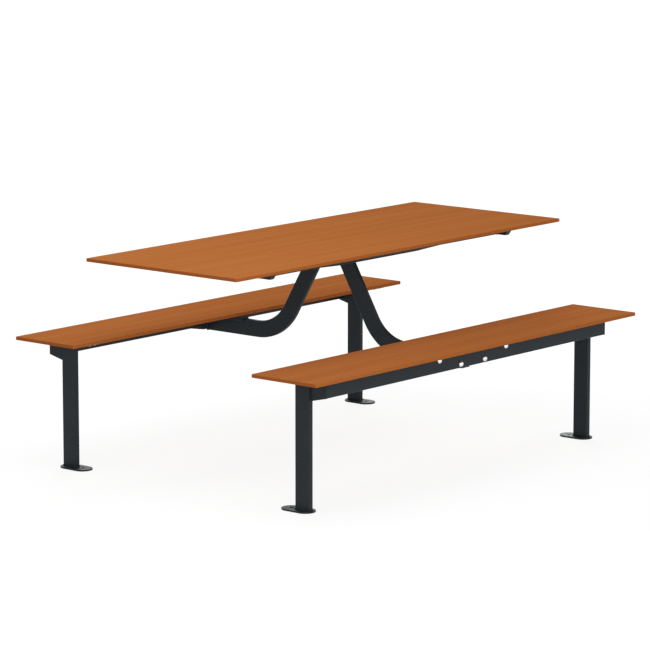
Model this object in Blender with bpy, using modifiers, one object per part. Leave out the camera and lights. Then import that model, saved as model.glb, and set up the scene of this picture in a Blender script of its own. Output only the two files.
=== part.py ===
# Outdoor table with two attached benches: three thin boards on a painted steel frame that is
# bolted together under the seats and anchored to the ground by four foot plates.
# Metres, +Z up. X runs along the boards, Y across them, and the origin is on the ground at the middle.
import math

import bmesh
import bpy

# Boards
BOARD_LENGTH = 1.800
BOARD_THICKNESS = 0.012
BOARD_CORNER = 0.006
BOARD_ARRIS = 0.002
TABLE_WIDTH = 0.686
TABLE_HEIGHT = 0.778
SEAT_WIDTH = 0.283
SEAT_HEIGHT = 0.466
BENCH_OFFSET = 0.5465

# Seat beam, a rectangular tube along the outer side of each seat
BEAM_DEPTH = 0.060
BEAM_WIDTH = 0.040
BEAM_WALL = 0.003
BEAM_CORNER = 0.003
BEAM_SETBACK = 0.054

# Legs: flat tube posts on round-ended foot plates
POST_SETBACK = 0.117
POST_INSET = 0.011
POST_WIDTH = 0.060
POST_THICKNESS = 0.020
POST_WALL = 0.002
POST_CORNER = 0.0015
FOOT_LENGTH = 0.130
FOOT_WIDTH = 0.070
FOOT_THICKNESS = 0.006
FOOT_OVERHANG = 0.006
ANCHOR_HOLE = 0.014
SEAT_PLATE_LENGTH = 0.150
SEAT_PLATE_WIDTH = 0.060
SEAT_PLATE_THICKNESS = 0.005
SEAT_PLATE_CORNER = 0.006
SCREW_HOLE = 0.007
SCREW_HOLE_EDGE = 0.016

# End gussets, which close the beam and tie it to the posts
GUSSET_THICKNESS = 0.008
GUSSET_SETBACK = 0.008
GUSSET_DROP = 0.016

# Arms that rise from the seat beams to the table
ARM_DEPTH = 0.056
ARM_THICKNESS = 0.018
ARM_EDGE_RADIUS = 0.003
ARM_DROP = 0.0427
ARM_KNEE = 0.238
ARM_BEND_RADIUS = 0.180

# Joint between arm and beam: a bolted flange, and a lug that carries the beam
FLANGE_THICKNESS = 0.008
FLANGE_END = 0.020
FLANGE_TOP_GAP = 0.004
FLANGE_END_DEPTH = 0.0333
FLANGE_FOOT_LENGTH = 0.058
FLANGE_FOOT_DROP = 0.0097
FLANGE_CORNER = 0.006
LUG_LENGTH = 0.045
LUG_DEPTH = 0.011
LUG_WIDTH = 0.013
LUG_CORNER = 0.005
INNER_BOLT_SPACING = 0.134
INNER_BOLT_DROP = 0.045
OUTER_BOLT_SPACING = 0.374
OUTER_BOLT_DROP = 0.017
BOLT_DIAMETER = 0.012
BOLT_HEAD = 0.021
BOLT_HEAD_HEIGHT = 0.0105
BOLT_HEAD_RIM = 0.001
BOLT_TIP_INSET = 0.005
NUT_ACROSS_FLATS = 0.019
NUT_HEIGHT = 0.010

# Pair of angles that sit over each arm and fill the room between arm and seat
ANGLE_LEG = 0.019
ANGLE_THICKNESS = 0.009
ANGLE_TOE = 0.002
ANGLE_LENGTH = 0.090
ANGLE_INSET = 0.0025

# Table frame
CROSSBAR_SETBACK = 0.2455
CROSSBAR_MARGIN = 0.0497
CROSSBAR_WIDTH = 0.025
CROSSBAR_DEPTH = 0.027
CROSSBAR_SLANT = math.radians(35)
RAIL_MARGIN = 0.096
RAIL_WIDTH = 0.030
RAIL_DEPTH = 0.027
STIFFENER_THICKNESS = 0.008
STIFFENER_LENGTH = 0.704
STIFFENER_END_DROP = 0.0068
STIFFENER_FOOT_LENGTH = 0.425
STIFFENER_FOOT_DROP = 0.0128
STIFFENER_CORNER = 0.004
SPINE_WIDTH = 0.080
SPINE_DEPTH = 0.030
FRAME_WALL = 0.002
FRAME_CORNER = 0.004
HEAD_PLATE_LENGTH = 0.100
HEAD_PLATE_WIDTH = 0.090
HEAD_PLATE_THICKNESS = 0.008
HEAD_PLATE_CORNER = 0.008
HEAD_PLATE_SPLIT = 0.0113
HEAD_BOLT_SPACING = 0.056
HEAD_BOLT_DIAMETER = 0.010
HEAD_BOLT_CAP = 0.016
HEAD_BOLT_HEAD = 0.010
HEAD_BOLT_LENGTH = 0.020

# Fits and facets
GAP = 0.0003
HOLE_CLEARANCE = 0.0005
CUT_THROUGH = 2
EDGE_STEPS = 2
CORNER_STEPS = 5
FOOT_STEPS = 10
BEND_STEPS = 16
ROUND_STEPS = 16
MERGE = 0.00001
SMOOTH_ANGLE = math.radians(40)

# Heights and offsets that several pieces share
SEAT_UNDERSIDE = SEAT_HEIGHT - BOARD_THICKNESS
TABLE_UNDERSIDE = TABLE_HEIGHT - BOARD_THICKNESS
STEEL_TOP = SEAT_UNDERSIDE - GAP
SEAT_INNER = BENCH_OFFSET - SEAT_WIDTH / 2
BEAM_OUTER = BENCH_OFFSET + SEAT_WIDTH / 2 - BEAM_SETBACK
BEAM_INNER = BEAM_OUTER - BEAM_WIDTH
BEAM_CENTRE = BEAM_OUTER - BEAM_WIDTH / 2
BEAM_BOTTOM = STEEL_TOP - BEAM_DEPTH
POST_X = BOARD_LENGTH / 2 - POST_SETBACK
POST_Y = BENCH_OFFSET - POST_INSET
POST_OUTER = POST_Y + POST_WIDTH / 2
GUSSET_FACE = POST_X + POST_THICKNESS / 2 - GUSSET_SETBACK
GUSSET_CENTRE = GUSSET_FACE - GUSSET_THICKNESS / 2
BEAM_LENGTH = 2 * (GUSSET_FACE - GUSSET_THICKNESS - GAP)
FLANGE_OUTER = BEAM_INNER - GAP
FLANGE_INNER = FLANGE_OUTER - FLANGE_THICKNESS
ARM_END = FLANGE_INNER - GAP
ARM_AXIS = SEAT_UNDERSIDE - ARM_DROP
FRAME_TOP = TABLE_UNDERSIDE - GAP
HEAD_PLATE_TOP = FRAME_TOP - SPINE_DEPTH - GAP
ARM_TOP = HEAD_PLATE_TOP - HEAD_PLATE_THICKNESS - GAP
HEAD_PLATE_CENTRE = (HEAD_PLATE_SPLIT + HEAD_PLATE_LENGTH) / 2
ARM_ANGLE = math.atan2(ARM_TOP - ARM_AXIS, ARM_KNEE - HEAD_PLATE_CENTRE)
CROSSBAR_X = BOARD_LENGTH / 2 - CROSSBAR_SETBACK
CROSSBAR_LENGTH = TABLE_WIDTH - 2 * CROSSBAR_MARGIN
RAIL_OUTER = TABLE_WIDTH / 2 - RAIL_MARGIN
STIFFENER_OUTER = RAIL_OUTER - RAIL_WIDTH - GAP
STIFFENER_INNER = STIFFENER_OUTER - STIFFENER_THICKNESS

# Turns that stand a flat outline up: facing along X, or along Y
FACING_X = (math.pi / 2, 0, math.pi / 2)
FACING_Y = (math.pi / 2, 0, 0)
BOLT_OUTWARD = (-math.pi / 2, 0, 0)

# Finish: colour, roughness, metallic
LAMINATE = ((0.40, 0.165, 0.052, 1.0), 0.45, 0.0)
POWDER_COAT = ((0.030, 0.036, 0.041, 1.0), 0.50, 0.0)
STAINLESS = ((0.80, 0.80, 0.80, 1.0), 0.25, 1.0)
ZINC = ((0.55, 0.56, 0.58, 1.0), 0.40, 1.0)

for old in list(bpy.data.objects):
    bpy.data.objects.remove(old, do_unlink=True)

parts = bpy.data.collections.new("bench_table")
cutters = bpy.data.collections.new("bench_table_cutters")
bpy.context.scene.collection.children.link(parts)
bpy.context.scene.collection.children.link(cutters)


def rounded_outline(corners, radius, steps=CORNER_STEPS):
    """Trace a closed outline and replace each corner by an arc; radius is one value or one per corner."""
    radii = radius if isinstance(radius, (list, tuple)) else [radius] * len(corners)
    points = []
    for index, (x, y) in enumerate(corners):
        before = corners[index - 1]
        after = corners[(index + 1) % len(corners)]
        into = math.atan2(y - before[1], x - before[0])
        out = math.atan2(after[1] - y, after[0] - x)
        swing = (out - into + math.pi) % (2 * math.pi) - math.pi
        if radii[index] == 0:
            points.append((x, y))
            continue
        side = math.copysign(1, swing)
        reach = radii[index] * math.tan(abs(swing) / 2)
        start_x = x - reach * math.cos(into)
        start_y = y - reach * math.sin(into)
        centre_x = start_x - side * radii[index] * math.sin(into)
        centre_y = start_y + side * radii[index] * math.cos(into)
        for step in range(steps + 1):
            angle = into + swing * step / steps - side * math.pi / 2
            point = (centre_x + radii[index] * math.cos(angle), centre_y + radii[index] * math.sin(angle))
            if not points or math.dist(point, points[-1]) > MERGE:
                points.append(point)
    if math.dist(points[0], points[-1]) < MERGE:
        points.pop()
    return points


def rectangle(width, depth, corner):
    """Rectangle centred on the origin with rounded corners."""
    half_width = width / 2
    half_depth = depth / 2
    corners = [(-half_width, -half_depth), (half_width, -half_depth),
               (half_width, half_depth), (-half_width, half_depth)]
    return rounded_outline(corners, corner)


def circle(diameter, centre=(0, 0), steps=ROUND_STEPS):
    """Points of a round hole or rim."""
    radius = diameter / 2
    points = []
    for step in range(steps):
        angle = 2 * math.pi * step / steps
        points.append((centre[0] + radius * math.cos(angle), centre[1] + radius * math.sin(angle)))
    return points


def hexagon(across_flats):
    """Points of a hexagon head or nut."""
    return circle(across_flats / math.cos(math.pi / 6), steps=6)


def finished_mesh(name, body):
    """Turn a closed shape's faces outwards and make it a mesh, smooth on its round sides."""
    bmesh.ops.recalc_face_normals(body, faces=body.faces)
    mesh = bpy.data.meshes.new(name)
    body.to_mesh(mesh)
    body.free()
    mesh.shade_smooth()
    mesh.set_sharp_from_angle(angle=SMOOTH_ANGLE)
    return mesh


def flat_piece(name, loops, thickness):
    """Mesh of a filled outline, later loops being holes, with its thickness centred on local Z."""
    curve = bpy.data.curves.new(name, "CURVE")
    curve.dimensions = "2D"
    curve.fill_mode = "BOTH"
    curve.extrude = thickness / 2
    for loop in loops:
        spline = curve.splines.new("POLY")
        spline.points.add(len(loop) - 1)
        for point, (x, y) in zip(spline.points, loop):
            point.co = (x, y, 0, 1)
        spline.use_cyclic_u = True
    holder = bpy.data.objects.new(name, curve)
    bpy.context.scene.collection.objects.link(holder)
    graph = bpy.context.evaluated_depsgraph_get()
    mesh = bpy.data.meshes.new_from_object(holder.evaluated_get(graph))
    bpy.data.objects.remove(holder)
    bpy.data.curves.remove(curve)
    body = bmesh.new()
    body.from_mesh(mesh)
    bpy.data.meshes.remove(mesh)
    bmesh.ops.remove_doubles(body, verts=body.verts, dist=MERGE)
    return finished_mesh(name, body)


def tube_mesh(name, width, depth, wall, corner, length, slant=0):
    """Rectangular tube along local Z, open at both ends; slanted ends are longer on the local +Y side."""
    body = bmesh.new()
    rims = []
    for inset in (0, wall):
        outline = rectangle(width - 2 * inset, depth - 2 * inset, max(corner - inset, wall / 2))
        ring = [body.verts.new((x, y, -length / 2 - y * math.tan(slant))) for x, y in outline]
        rims += [body.edges.new(pair) for pair in zip(ring, ring[1:] + ring[:1])]
    end_faces = bmesh.ops.bridge_loops(body, edges=rims)["faces"]
    grown = bmesh.ops.extrude_face_region(body, geom=end_faces)["geom"]
    for item in grown:
        if isinstance(item, bmesh.types.BMVert):
            item.co.z = -item.co.z
    return finished_mesh(name, body)


def turned_mesh(name, profile):
    """Mesh holding the outer edge of a turned piece, from its tip down to its foot."""
    body = bmesh.new()
    corners = [body.verts.new((radius, 0, height)) for radius, height in profile]
    for upper, lower in zip(corners, corners[1:]):
        body.edges.new((upper, lower))
    mesh = bpy.data.meshes.new(name)
    body.to_mesh(mesh)
    body.free()
    return mesh


def place(name, mesh, finish, parent=None, location=(0, 0, 0), rotation=(0, 0, 0)):
    """Make a named piece from a mesh, give it its own material and set it in the frame."""
    piece = bpy.data.objects.new(name, mesh)
    parts.objects.link(piece)
    piece.parent = parent
    piece.location = location
    piece.rotation_euler = rotation
    colour, roughness, metallic = finish
    material = bpy.data.materials.new(name)
    material.use_nodes = True
    shader = material.node_tree.nodes["Principled BSDF"]
    shader.inputs["Base Color"].default_value = colour
    shader.inputs["Roughness"].default_value = roughness
    shader.inputs["Metallic"].default_value = metallic
    material.diffuse_color = colour
    if not mesh.materials:
        mesh.materials.append(None)
    piece.material_slots[0].link = "OBJECT"
    piece.material_slots[0].material = material
    return piece


def round_edges(piece, width):
    """Soften the sharp edges of a piece."""
    bevel = piece.modifiers.new("rounded_edges", "BEVEL")
    bevel.width = width
    bevel.segments = EDGE_STEPS
    bevel.limit_method = "ANGLE"
    bevel.angle_limit = SMOOTH_ANGLE
    return piece


def turn(piece):
    """Spin a turned piece's profile about its own Z."""
    screw = piece.modifiers.new("turned", "SCREW")
    screw.axis = "Z"
    screw.angle = 2 * math.pi
    screw.steps = ROUND_STEPS
    screw.render_steps = ROUND_STEPS
    screw.use_merge_vertices = True
    screw.merge_threshold = MERGE
    return piece


def drill(piece, holes, depth, parent=None, location=(0, 0, 0), rotation=(0, 0, 0)):
    """Cut a set of round holes through a piece with one cutter."""
    name = f"{piece.name}_drill"
    cutter = bpy.data.objects.new(name, flat_piece(name, holes, depth))
    cutters.objects.link(cutter)
    cutter.parent = parent
    cutter.location = location
    cutter.rotation_euler = rotation
    cutter.hide_render = True
    cutter.display_type = "WIRE"
    cut = piece.modifiers.new("holes", "BOOLEAN")
    cut.operation = "DIFFERENCE"
    cut.solver = "EXACT"
    cut.object = cutter


def arm_outline():
    """Side view of an arm: level under the seat, one bend, then straight up to the table's head plate."""
    reach = ARM_BEND_RADIUS * math.tan(ARM_ANGLE / 2)
    bend_y = ARM_KNEE + reach
    bend_z = ARM_AXIS + ARM_BEND_RADIUS
    half = ARM_DEPTH / 2
    lower = [(ARM_END, ARM_AXIS - half)]
    upper = [(ARM_END, ARM_AXIS + half)]
    for step in range(BEND_STEPS + 1):
        angle = ARM_ANGLE * step / BEND_STEPS
        for side, radius in ((lower, ARM_BEND_RADIUS + half), (upper, ARM_BEND_RADIUS - half)):
            side.append((bend_y - radius * math.sin(angle), bend_z - radius * math.cos(angle)))
    for side in (lower, upper):
        last_y, last_z = side[-1]
        side.append((last_y - (ARM_TOP - last_z) / math.tan(ARM_ANGLE), ARM_TOP))
    return lower[::-1] + upper


def bolt_places():
    """X of the four bolts that hold a beam to its arm flange, and their drop below the seat."""
    rows = ((INNER_BOLT_SPACING, INNER_BOLT_DROP), (OUTER_BOLT_SPACING, OUTER_BOLT_DROP))
    return [(side * spacing / 2, drop) for spacing, drop in rows for side in (-1, 1)]


def flange_outline():
    """Wide plate whose lower edge falls from shallow ends to a short level foot below the beam."""
    end_x = OUTER_BOLT_SPACING / 2 + FLANGE_END
    foot_x = FLANGE_FOOT_LENGTH / 2
    top_z = SEAT_UNDERSIDE - FLANGE_TOP_GAP
    end_z = top_z - FLANGE_END_DEPTH
    foot_z = BEAM_BOTTOM - FLANGE_FOOT_DROP
    corners = [(-foot_x, foot_z), (foot_x, foot_z), (end_x, end_z),
               (end_x, top_z), (-end_x, top_z), (-end_x, end_z)]
    return rounded_outline(corners, FLANGE_CORNER)


def gusset_outline():
    """Plate from a post to the beam's outer face, its lower edge falling towards the post."""
    inner = POST_OUTER + GAP
    corners = [(inner, BEAM_BOTTOM - GUSSET_DROP), (BEAM_OUTER, BEAM_BOTTOM),
               (BEAM_OUTER, STEEL_TOP), (inner, STEEL_TOP)]
    return corners


def angle_outline():
    """Angle over the arm's top edge: a thick level leg up to the seat, and a leg down the arm's side."""
    middle = GAP / 2
    arm_side = ARM_THICKNESS / 2 + GAP
    outer = arm_side + ANGLE_THICKNESS
    arm_top = ARM_AXIS + ARM_DEPTH / 2 + GAP
    low = STEEL_TOP - ANGLE_LEG
    corners = [(arm_side, low), (outer, low), (outer, STEEL_TOP),
               (middle, STEEL_TOP), (middle, arm_top), (arm_side, arm_top)]
    return rounded_outline(corners, [ANGLE_TOE, ANGLE_TOE, 0, 0, 0, 0])


def stiffener_outline():
    """Plate behind a rail, with a long level foot below the rail and shallower ends."""
    rail_low = FRAME_TOP - RAIL_DEPTH
    foot_x = STIFFENER_FOOT_LENGTH / 2
    foot_z = rail_low - STIFFENER_FOOT_DROP
    end_x = STIFFENER_LENGTH / 2
    end_z = rail_low - STIFFENER_END_DROP
    corners = [(-foot_x, foot_z), (foot_x, foot_z), (end_x, end_z),
               (end_x, FRAME_TOP), (-end_x, FRAME_TOP), (-end_x, end_z)]
    return rounded_outline(corners, [0, 0] + [STIFFENER_CORNER] * 4)


def bolt_profile(grip):
    """Button-head bolt: the dome, its rim, and the shank down to its end."""
    radius = BOLT_HEAD / 2
    dome = BOLT_HEAD_HEIGHT - BOLT_HEAD_RIM
    points = []
    for step in range(CORNER_STEPS + 1):
        angle = math.pi / 2 * step / CORNER_STEPS
        points.append((radius * math.sin(angle), GAP + BOLT_HEAD_RIM + dome * math.cos(angle)))
    points.append((radius, GAP))
    points.append((BOLT_DIAMETER / 2, GAP))
    points.append((BOLT_DIAMETER / 2, -grip))
    points.append((0, -grip))
    return points


def cap_screw_profile():
    """Cap screw pointing up, the underside of its head at the local origin."""
    radius = HEAD_BOLT_DIAMETER / 2
    return [(0, HEAD_BOLT_LENGTH), (radius, HEAD_BOLT_LENGTH), (radius, 0), (HEAD_BOLT_CAP / 2, 0),
            (HEAD_BOLT_CAP / 2, -HEAD_BOLT_HEAD), (0, -HEAD_BOLT_HEAD)]


def head_bolt_places():
    """X and Y of the screws through an arm's head plate."""
    return [(side * HEAD_BOLT_SPACING / 2, HEAD_PLATE_CENTRE) for side in (-1, 1)]


def board(name, width, height, offset):
    """Thin board with rounded corners and softened edges, lying flat."""
    mesh = flat_piece(name, [rectangle(BOARD_LENGTH, width, BOARD_CORNER)], BOARD_THICKNESS)
    piece = place(name, mesh, LAMINATE, location=(0, offset, height - BOARD_THICKNESS / 2))
    return round_edges(piece, BOARD_ARRIS)


def leg(side, end, parent, x):
    """Foot plate, post, seat plate and end gusset at one end of a bench."""
    half_foot = FOOT_LENGTH / 2
    cap = FOOT_WIDTH / 2
    foot_corners = [(-cap, -half_foot), (cap, -half_foot), (cap, half_foot), (-cap, half_foot)]
    foot_loop = rounded_outline(foot_corners, cap, steps=FOOT_STEPS)
    outer_cap_y = POST_Y + FOOT_OVERHANG
    anchor_y = outer_cap_y - (FOOT_LENGTH - FOOT_WIDTH)
    foot_y = (outer_cap_y + anchor_y) / 2
    hole_loop = circle(ANCHOR_HOLE, (0, anchor_y - foot_y))
    foot_mesh = flat_piece(f"{side}_{end}_foot_plate", [foot_loop, hole_loop], FOOT_THICKNESS)
    place(f"{side}_{end}_foot_plate", foot_mesh, POWDER_COAT, parent, (x, foot_y, FOOT_THICKNESS / 2))

    post_low = FOOT_THICKNESS + GAP
    post_high = STEEL_TOP - SEAT_PLATE_THICKNESS - GAP
    post_mesh = tube_mesh(f"{side}_{end}_post", POST_THICKNESS, POST_WIDTH, POST_WALL, POST_CORNER,
                          post_high - post_low)
    place(f"{side}_{end}_post", post_mesh, POWDER_COAT, parent, (x, POST_Y, (post_low + post_high) / 2))

    plate_y = POST_OUTER - SEAT_PLATE_LENGTH / 2
    plate_loops = [rectangle(SEAT_PLATE_WIDTH, SEAT_PLATE_LENGTH, SEAT_PLATE_CORNER)]
    for across in (-1, 1):
        hole_x = across * (SEAT_PLATE_WIDTH / 2 - SCREW_HOLE_EDGE)
        plate_loops.append(circle(SCREW_HOLE, (hole_x, SCREW_HOLE_EDGE - SEAT_PLATE_LENGTH / 2)))
    plate_mesh = flat_piece(f"{side}_{end}_seat_plate", plate_loops, SEAT_PLATE_THICKNESS)
    place(f"{side}_{end}_seat_plate", plate_mesh, POWDER_COAT, parent,
          (x, plate_y, STEEL_TOP - SEAT_PLATE_THICKNESS / 2))

    gusset_mesh = flat_piece(f"{side}_{end}_gusset", [gusset_outline()], GUSSET_THICKNESS)
    place(f"{side}_{end}_gusset", gusset_mesh, POWDER_COAT, parent,
          (math.copysign(GUSSET_CENTRE, x), 0, 0), FACING_X)


def bench(side, heading):
    """One bench with its half of the frame, built on the +Y side and turned to its heading."""
    parent = bpy.data.objects.new(f"{side}_bench", None)
    parts.objects.link(parent)
    parent.rotation_euler = (0, 0, heading)
    # The turned bench has its local +X end on the left
    ends = {1: "right", -1: "left"} if heading == 0 else {1: "left", -1: "right"}
    for along, end in ends.items():
        leg(side, end, parent, along * POST_X)

    bolts = [(x, SEAT_UNDERSIDE - drop) for x, drop in bolt_places()]
    beam_mesh = tube_mesh(f"{side}_seat_beam", BEAM_WIDTH, BEAM_DEPTH, BEAM_WALL, BEAM_CORNER, BEAM_LENGTH)
    beam = place(f"{side}_seat_beam", beam_mesh, POWDER_COAT, parent,
                 (0, BEAM_CENTRE, BEAM_BOTTOM + BEAM_DEPTH / 2), FACING_X)
    bolt_holes = [circle(BOLT_DIAMETER + 2 * HOLE_CLEARANCE, spot) for spot in bolts]
    drill(beam, bolt_holes, CUT_THROUGH * BEAM_WIDTH, parent, (0, BEAM_CENTRE, 0), FACING_Y)

    flange_mesh = flat_piece(f"{side}_arm_flange", [flange_outline()] + bolt_holes, FLANGE_THICKNESS)
    place(f"{side}_arm_flange", flange_mesh, POWDER_COAT, parent,
          (0, (FLANGE_INNER + FLANGE_OUTER) / 2, 0), FACING_Y)

    lug_mesh = flat_piece(f"{side}_beam_lug", [rectangle(LUG_LENGTH, LUG_WIDTH, LUG_CORNER)], LUG_DEPTH)
    place(f"{side}_beam_lug", lug_mesh, POWDER_COAT, parent,
          (0, BEAM_INNER + LUG_WIDTH / 2, BEAM_BOTTOM - GAP - LUG_DEPTH / 2))

    arm_mesh = flat_piece(f"{side}_arm", [arm_outline()], ARM_THICKNESS)
    arm = place(f"{side}_arm", arm_mesh, POWDER_COAT, parent, rotation=FACING_X)
    round_edges(arm, ARM_EDGE_RADIUS)

    angle_y = SEAT_INNER + ANGLE_INSET + ANGLE_LENGTH / 2
    for along, end in ends.items():
        angle_mesh = flat_piece(f"{side}_{end}_seat_angle", [angle_outline()], ANGLE_LENGTH)
        heading_out = (math.pi / 2, 0, 0 if along > 0 else math.pi)
        place(f"{side}_{end}_seat_angle", angle_mesh, POWDER_COAT, parent, (0, angle_y, 0), heading_out)

    grip = BEAM_WIDTH + GAP + FLANGE_THICKNESS + GAP + NUT_HEIGHT - BOLT_TIP_INSET
    nut_loops = [hexagon(NUT_ACROSS_FLATS), circle(BOLT_DIAMETER + 2 * GAP)]
    for row, (x, z) in zip(("inner", "inner", "outer", "outer"), bolts):
        end = ends[math.copysign(1, x)]
        bolt_mesh = turned_mesh(f"{side}_{row}_{end}_bolt", bolt_profile(grip))
        turn(place(f"{side}_{row}_{end}_bolt", bolt_mesh, STAINLESS, parent,
                   (x, BEAM_OUTER, z), BOLT_OUTWARD))
        nut_mesh = flat_piece(f"{side}_{row}_{end}_nut", nut_loops, NUT_HEIGHT)
        place(f"{side}_{row}_{end}_nut", nut_mesh, POWDER_COAT, parent,
              (x, FLANGE_INNER - GAP - NUT_HEIGHT / 2, z), FACING_Y)

    plate_hole = HEAD_BOLT_DIAMETER + 2 * HOLE_CLEARANCE
    head_loops = [rectangle(HEAD_PLATE_WIDTH, HEAD_PLATE_LENGTH, HEAD_PLATE_CORNER)]
    head_loops += [circle(plate_hole, (x, y - HEAD_PLATE_CENTRE)) for x, y in head_bolt_places()]
    head_low = HEAD_PLATE_TOP - HEAD_PLATE_THICKNESS
    head_mesh = flat_piece(f"{side}_head_plate", head_loops, HEAD_PLATE_THICKNESS)
    place(f"{side}_head_plate", head_mesh, POWDER_COAT, parent,
          (0, HEAD_PLATE_CENTRE, head_low + HEAD_PLATE_THICKNESS / 2))
    for x, y in head_bolt_places():
        end = ends[math.copysign(1, x)]
        screw_mesh = turned_mesh(f"{side}_{end}_head_bolt", cap_screw_profile())
        turn(place(f"{side}_{end}_head_bolt", screw_mesh, ZINC, parent, (x, y, head_low - GAP)))


def table_frame():
    """Two crossbars with sloping ends, two rails with stiffeners behind them, and the spine for the arms."""
    for end, along in (("left", -1), ("right", 1)):
        bar_mesh = tube_mesh(f"{end}_crossbar", CROSSBAR_WIDTH, CROSSBAR_DEPTH, FRAME_WALL, FRAME_CORNER,
                             CROSSBAR_LENGTH, CROSSBAR_SLANT)
        place(f"{end}_crossbar", bar_mesh, POWDER_COAT,
              location=(along * CROSSBAR_X, 0, FRAME_TOP - CROSSBAR_DEPTH / 2), rotation=FACING_Y)

    rail_length = 2 * (CROSSBAR_X - CROSSBAR_WIDTH / 2 - GAP)
    rail_y = RAIL_OUTER - RAIL_WIDTH / 2
    stiffener_y = (STIFFENER_OUTER + STIFFENER_INNER) / 2
    for side, across in (("front", -1), ("rear", 1)):
        rail_mesh = tube_mesh(f"{side}_rail", RAIL_WIDTH, RAIL_DEPTH, FRAME_WALL, FRAME_CORNER, rail_length)
        place(f"{side}_rail", rail_mesh, POWDER_COAT,
              location=(0, across * rail_y, FRAME_TOP - RAIL_DEPTH / 2), rotation=FACING_X)
        stiffener_mesh = flat_piece(f"{side}_rail_stiffener", [stiffener_outline()], STIFFENER_THICKNESS)
        place(f"{side}_rail_stiffener", stiffener_mesh, POWDER_COAT,
              location=(0, across * stiffener_y, 0), rotation=FACING_Y)

    spine_length = 2 * (STIFFENER_INNER - GAP)
    spine_low = FRAME_TOP - SPINE_DEPTH
    spine_mesh = tube_mesh("spine", SPINE_WIDTH, SPINE_DEPTH, FRAME_WALL, FRAME_CORNER, spine_length)
    spine = place("spine", spine_mesh, POWDER_COAT,
                  location=(0, 0, spine_low + SPINE_DEPTH / 2), rotation=FACING_Y)
    screw_hole = HEAD_BOLT_DIAMETER + 2 * HOLE_CLEARANCE
    holes = [circle(screw_hole, (x, across * y)) for x, y in head_bolt_places() for across in (-1, 1)]
    drill(spine, holes, 2 * CUT_THROUGH * FRAME_WALL, location=(0, 0, spine_low))


board("table_board", TABLE_WIDTH, TABLE_HEIGHT, 0)
board("front_seat_board", SEAT_WIDTH, SEAT_HEIGHT, -BENCH_OFFSET)
board("rear_seat_board", SEAT_WIDTH, SEAT_HEIGHT, BENCH_OFFSET)
table_frame()
bench("rear", 0)
bench("front", math.pi)
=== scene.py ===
# Looks of an outdoor table with two attached benches: thin wood-look boards on a dark coated steel frame.
# The sections follow the order in which the real one is put together, from its feet up to its boards.
# Sizes are in metres, and the places of the pieces come from the solids in the frame.
import math

import bmesh
import bpy
from mathutils import Matrix, Vector


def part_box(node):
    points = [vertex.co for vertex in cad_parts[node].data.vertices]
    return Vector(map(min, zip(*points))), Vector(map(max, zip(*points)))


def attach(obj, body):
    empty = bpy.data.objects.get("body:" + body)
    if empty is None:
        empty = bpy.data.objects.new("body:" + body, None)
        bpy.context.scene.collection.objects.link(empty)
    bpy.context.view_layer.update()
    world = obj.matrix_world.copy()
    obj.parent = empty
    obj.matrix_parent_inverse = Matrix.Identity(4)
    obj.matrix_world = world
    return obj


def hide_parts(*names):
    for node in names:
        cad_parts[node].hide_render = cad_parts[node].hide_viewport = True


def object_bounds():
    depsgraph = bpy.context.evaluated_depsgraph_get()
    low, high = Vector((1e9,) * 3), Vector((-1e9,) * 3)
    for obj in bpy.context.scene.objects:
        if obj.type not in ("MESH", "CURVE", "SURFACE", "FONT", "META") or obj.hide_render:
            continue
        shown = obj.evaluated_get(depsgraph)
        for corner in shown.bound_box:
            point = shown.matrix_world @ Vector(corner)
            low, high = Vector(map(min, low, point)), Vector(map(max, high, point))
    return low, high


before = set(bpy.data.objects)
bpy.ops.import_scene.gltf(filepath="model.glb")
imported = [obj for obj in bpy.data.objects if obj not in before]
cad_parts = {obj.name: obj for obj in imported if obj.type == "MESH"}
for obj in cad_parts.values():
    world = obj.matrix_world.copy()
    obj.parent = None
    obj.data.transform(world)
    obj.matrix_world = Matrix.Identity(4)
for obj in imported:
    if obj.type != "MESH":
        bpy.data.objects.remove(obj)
cad_low, cad_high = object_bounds()

# Foot plates: four round-ended plates cut from 6 mm steel, each with one hole for a ground anchor.
# They are welded under the posts, and the whole frame is powder coated after it has been welded.
SIDES = ("front", "rear")
ENDS = ("left", "right")
CORNERS = [f"{side}_{end}" for side in SIDES for end in ENDS]
CUT_EDGE = 0.0012
EDGE_STEPS = 2
MILLIMETRE = 0.001
# Edges over the angle SHARP get rounded, faces within FLAT become one, and so do points within CLOSE.
SHARP = math.radians(35)
FLAT = math.radians(0.5)
CLOSE = 0.00001


def linear(code):
    """Linear colour of an sRGB hex value such as #3a4043."""
    levels = [int(code[place:place + 2], 16) / 255 for place in (1, 3, 5)]
    return [level / 12.92 if level <= 0.04045 else ((level + 0.055) / 1.055) ** 2.4
            for level in levels] + [1.0]


def add_node(tree, kind, inputs, **settings):
    """Add a node with its settings; each input is a value, or the output socket that feeds it."""
    node = tree.nodes.new(kind)
    for name, value in settings.items():
        setattr(node, name, value)
    for name, value in inputs.items():
        if isinstance(value, bpy.types.NodeSocket):
            tree.links.new(value, node.inputs[name])
        else:
            node.inputs[name].default_value = value
    return node


def new_material(name):
    """A material, its node tree and its Principled shader, with nothing linked to it yet."""
    material = bpy.data.materials.new(name)
    material.use_nodes = True
    return material, material.node_tree, material.node_tree.nodes["Principled BSDF"]


# Powder-coated steel: an anthracite polyester powder baked on in one coat. It looks even and matt
# from afar, and close to it shows a fine orange peel, with a faint cloudiness where the coat is thicker.
COAT_DARK = linear("#20262a")
COAT_LIGHT = linear("#282f33")
COAT_SMOOTHEST = 0.38
COAT_ROUGHEST = 0.48
COAT_SPECULAR = 0.12
COAT_CLOUD = 90 * MILLIMETRE
COAT_CLOUD_DETAIL = 3.0
COAT_PEEL = 2.5 * MILLIMETRE
COAT_PEEL_DETAIL = 2.0
COAT_PEEL_DEPTH = 0.2 * MILLIMETRE
COAT_PEEL_STRENGTH = 0.12
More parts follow.
